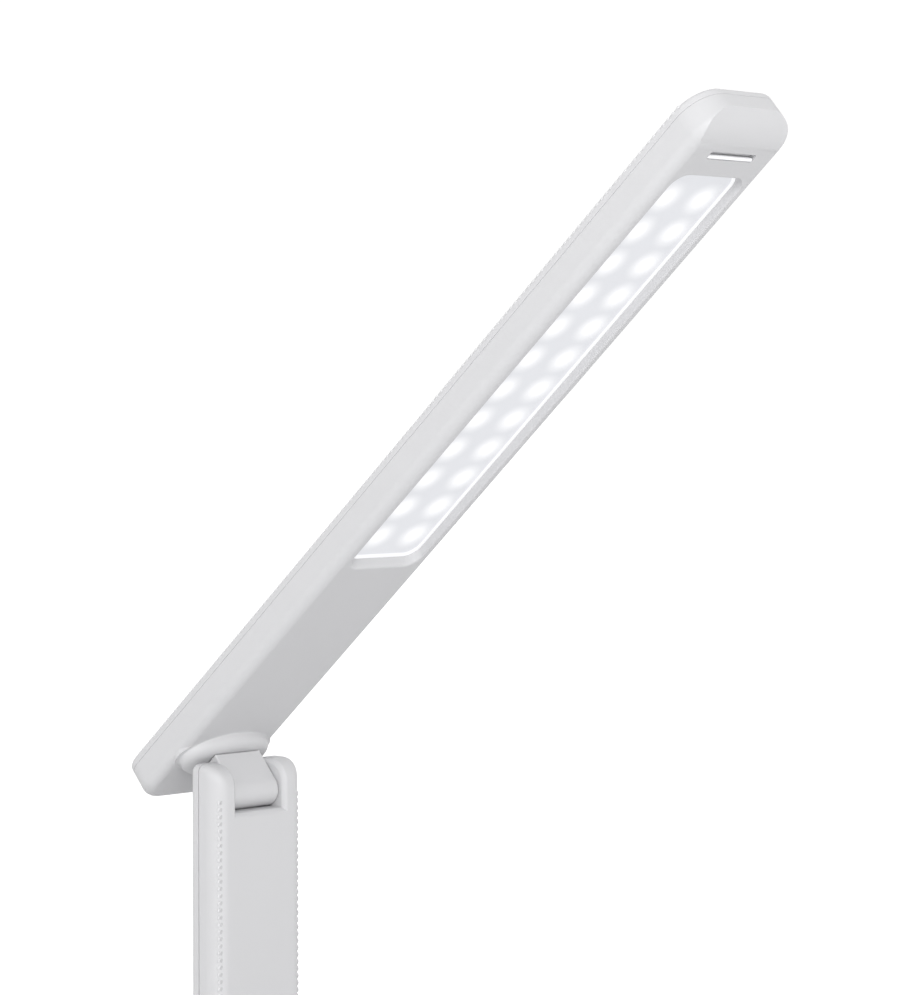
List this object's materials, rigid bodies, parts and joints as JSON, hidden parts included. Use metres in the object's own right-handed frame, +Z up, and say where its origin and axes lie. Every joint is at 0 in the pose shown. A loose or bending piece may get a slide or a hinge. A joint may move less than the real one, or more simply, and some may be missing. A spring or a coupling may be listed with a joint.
{
  "type": "folding LED desk lamp",
  "caption": "White folding LED desk lamp: long flat head with a recessed light strip, swivel and tilt neck, flat stitched stem that folds over a weighted touch-control base.",
  "frame": {"origin": "middle of the base's underside, on the surface that the lamp stands on", "axes": "+Z up, -Y the lamp's front, to which the head reaches, +X the lamp's right"},
  "size_m": [0.168, 0.2445, 0.5739],
  "materials": {
    "white_plastic": "satin",
    "diffuser_plastic": "matte",
    "steel": "satin",
    "brass": "satin",
    "rubber": "matte",
    "nylon": "matte",
    "board": "satin",
    "aluminium_board": "satin",
    "black_plastic": "satin",
    "lead_jacket": "satin",
    "led_package": "gloss",
    "panel_glass": "gloss"
  },
  "bodies": {
    "base": {"upright_fork": "white_plastic", "fork_screws": "steel", "fork_caps": "white_plastic", "fold_washers": "nylon", "base_top_cover": "white_plastic", "base_bottom_tray": "white_plastic", "counterweight": "steel", "control_board": "board", "board_parts": "black_plastic", "touch_panel": "panel_glass", "touch_board": "board", "power_inlet": "black_plastic", "power_lead": "lead_jacket", "base_lead": "lead_jacket", "base_screws": "steel", "non_slip_pad": "rubber"},
    "stem": {"stem_front_shell": "white_plastic", "stem_rear_cover": "white_plastic", "tilt_bracket": "steel", "bracket_screws": "steel", "tilt_washers": "nylon", "stem_lead": "lead_jacket", "stem_foot": "white_plastic", "stem_screws": "steel", "fold_pin": "steel", "fold_nut": "brass"},
    "neck": {"neck": "white_plastic", "swivel_shaft": "steel", "tilt_pin": "steel", "tilt_nut": "brass", "thrust_washer": "nylon", "neck_lead": "lead_jacket", "swivel_nut": "brass"},
    "head": {"head_housing": "white_plastic", "head_top_cover": "white_plastic", "diffuser": "diffuser_plastic", "led_board": "aluminium_board", "leds": "led_package", "led_board_screws": "steel", "head_lead": "lead_jacket", "swivel_washer": "steel", "swivel_spring_washer": "steel"}
  },
  "joints": [
    {"name": "stem_fold", "type": "hinge", "parent": "base", "child": "stem", "pos_m": [0, 0.04, 0.047], "axis": [1, 0, 0], "range_deg": [0, 90]},
    {"name": "head_tilt", "type": "hinge", "parent": "stem", "child": "neck", "pos_m": [0, 0.04, 0.362], "axis": [1, 0, 0], "range_deg": [-15, 131.05]},
    {"name": "head_swivel", "type": "hinge", "parent": "neck", "child": "head", "pos_m": [0, 0.04, 0.362], "axis": [0, 0.6567, 0.7541], "range_deg": [-90, 90]}
  ]
}
